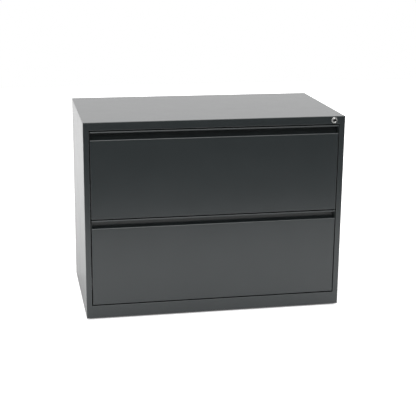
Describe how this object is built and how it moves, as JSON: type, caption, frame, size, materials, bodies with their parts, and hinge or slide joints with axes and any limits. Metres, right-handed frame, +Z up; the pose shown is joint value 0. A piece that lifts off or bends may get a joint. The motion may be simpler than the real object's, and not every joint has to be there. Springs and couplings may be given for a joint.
{
  "type": "lateral filing cabinet",
  "caption": "Low wide steel lateral filing cabinet with stacked full-width drawers, recessed full-width pulls, a cam lock in the header and levelling glides.",
  "frame": {"origin": "on the floor under the middle of the case", "axes": "+X to the right along the width seen from the front, +Y from the front to the back, +Z up"},
  "size_m": [0.914, 0.5108, 0.701],
  "materials": {
    "charcoal_paint": "satin charcoal powder coat",
    "zinc_plate": "zinc plated steel",
    "lock_chrome": "bright chrome plate",
    "ballast_iron": "raw dark iron",
    "glide_polymer": "matt black polymer"
  },
  "bodies": {
    "cabinet": {"top_panel": "charcoal_paint", "back_panel": "charcoal_paint", "bottom_pan": "charcoal_paint", "side_panel_left": "charcoal_paint", "side_panel_right": "charcoal_paint", "base_rail_front": "charcoal_paint", "base_rail_rear": "charcoal_paint", "counterweight": "ballast_iron", "upright_front_left": "zinc_plate", "upright_front_right": "zinc_plate", "upright_rear_left": "zinc_plate", "upright_rear_right": "zinc_plate", "lock_housing": "lock_chrome", "lock_clip": "zinc_plate", "lock_bar_guide_lower": "zinc_plate", "lock_bar_guide_upper": "zinc_plate", "lower_slide_cabinet_left": "zinc_plate", "lower_slide_cabinet_right": "zinc_plate", "upper_slide_cabinet_left": "zinc_plate", "upper_slide_cabinet_right": "zinc_plate"},
    "lower_drawer": {"lower_drawer_front": "charcoal_paint", "lower_drawer_liner": "charcoal_paint", "lower_drawer_tray": "charcoal_paint", "lower_drawer_side_left": "charcoal_paint", "lower_drawer_side_right": "charcoal_paint", "lower_lock_hook": "zinc_plate", "lower_hang_rail_front": "zinc_plate", "lower_hang_rail_rear": "zinc_plate", "lower_slide_drawer_left": "zinc_plate", "lower_slide_drawer_right": "zinc_plate"},
    "upper_drawer": {"upper_drawer_front": "charcoal_paint", "upper_drawer_liner": "charcoal_paint", "upper_drawer_tray": "charcoal_paint", "upper_drawer_side_left": "charcoal_paint", "upper_drawer_side_right": "charcoal_paint", "upper_lock_hook": "zinc_plate", "upper_hang_rail_front": "zinc_plate", "upper_hang_rail_rear": "zinc_plate", "upper_slide_drawer_left": "zinc_plate", "upper_slide_drawer_right": "zinc_plate"},
    "lower_slide_middle": {"lower_slide_middle_left": "zinc_plate", "lower_slide_middle_right": "zinc_plate"},
    "upper_slide_middle": {"upper_slide_middle_left": "zinc_plate", "upper_slide_middle_right": "zinc_plate"},
    "lower_cage_outer": {"lower_slide_cage_outer_left": "zinc_plate", "lower_slide_cage_outer_right": "zinc_plate"},
    "upper_cage_outer": {"upper_slide_cage_outer_left": "zinc_plate", "upper_slide_cage_outer_right": "zinc_plate"},
    "lower_cage_inner": {"lower_slide_cage_inner_left": "zinc_plate", "lower_slide_cage_inner_right": "zinc_plate"},
    "upper_cage_inner": {"upper_slide_cage_inner_left": "zinc_plate", "upper_slide_cage_inner_right": "zinc_plate"},
    "lock_cylinder": {"lock_plug": "lock_chrome", "lock_cam": "zinc_plate"},
    "lock_bar": {"lock_bar": "zinc_plate"},
    "glide_front_left": {"glide_front_left": "glide_polymer"},
    "glide_front_right": {"glide_front_right": "glide_polymer"},
    "glide_rear_left": {"glide_rear_left": "glide_polymer"},
    "glide_rear_right": {"glide_rear_right": "glide_polymer"}
  },
  "joints": [
    {"name": "lower_drawer_slide", "type": "slide", "parent": "cabinet", "child": "lower_drawer", "axis": [0, -1, 0], "range_m": [0, 0.4]},
    {"name": "upper_drawer_slide", "type": "slide", "parent": "cabinet", "child": "upper_drawer", "axis": [0, -1, 0], "range_m": [0, 0.4]},
    {"name": "lower_middle_slide", "type": "slide", "parent": "cabinet", "child": "lower_slide_middle", "axis": [0, -1, 0], "range_m": [0, 0.2]},
    {"name": "upper_middle_slide", "type": "slide", "parent": "cabinet", "child": "upper_slide_middle", "axis": [0, -1, 0], "range_m": [0, 0.2]},
    {"name": "lower_cage_outer_slide", "type": "slide", "parent": "cabinet", "child": "lower_cage_outer", "axis": [0, -1, 0], "range_m": [0, 0.1]},
    {"name": "upper_cage_outer_slide", "type": "slide", "parent": "cabinet", "child": "upper_cage_outer", "axis": [0, -1, 0], "range_m": [0, 0.1]},
    {"name": "lower_cage_inner_slide", "type": "slide", "parent": "cabinet", "child": "lower_cage_inner", "axis": [0, -1, 0], "range_m": [0, 0.3]},
    {"name": "upper_cage_inner_slide", "type": "slide", "parent": "cabinet", "child": "upper_cage_inner", "axis": [0, -1, 0], "range_m": [0, 0.3]},
    {"name": "lock_turn", "type": "hinge", "parent": "cabinet", "child": "lock_cylinder", "pos_m": [0.417, -0.254, 0.687], "axis": [0, -1, 0], "range_deg": [0, 90]},
    {"name": "lock_bar_lift", "type": "slide", "parent": "cabinet", "child": "lock_bar", "axis": [0, 0, 1], "range_m": [0, 0.01202]},
    {"name": "glide_front_left_adjust", "type": "slide", "parent": "cabinet", "child": "glide_front_left", "axis": [0, 0, -1], "range_m": [0, 0.012]},
    {"name": "glide_front_right_adjust", "type": "slide", "parent": "cabinet", "child": "glide_front_right", "axis": [0, 0, -1], "range_m": [0, 0.012]},
    {"name": "glide_rear_left_adjust", "type": "slide", "parent": "cabinet", "child": "glide_rear_left", "axis": [0, 0, -1], "range_m": [0, 0.012]},
    {"name": "glide_rear_right_adjust", "type": "slide", "parent": "cabinet", "child": "glide_rear_right", "axis": [0, 0, -1], "range_m": [0, 0.012]}
  ],
  "couplings": [
    {"joint": "lower_middle_slide", "follows": "lower_drawer_slide", "ratio": 0.5},
    {"joint": "upper_middle_slide", "follows": "upper_drawer_slide", "ratio": 0.5},
    {"joint": "lower_cage_outer_slide", "follows": "lower_drawer_slide", "ratio": 0.25},
    {"joint": "upper_cage_outer_slide", "follows": "upper_drawer_slide", "ratio": 0.25},
    {"joint": "lower_cage_inner_slide", "follows": "lower_drawer_slide", "ratio": 0.75},
    {"joint": "upper_cage_inner_slide", "follows": "upper_drawer_slide", "ratio": 0.75},
    {"joint": "lock_turn", "follows": "lock_bar_lift", "rad_per_m": 130.67}
  ]
}
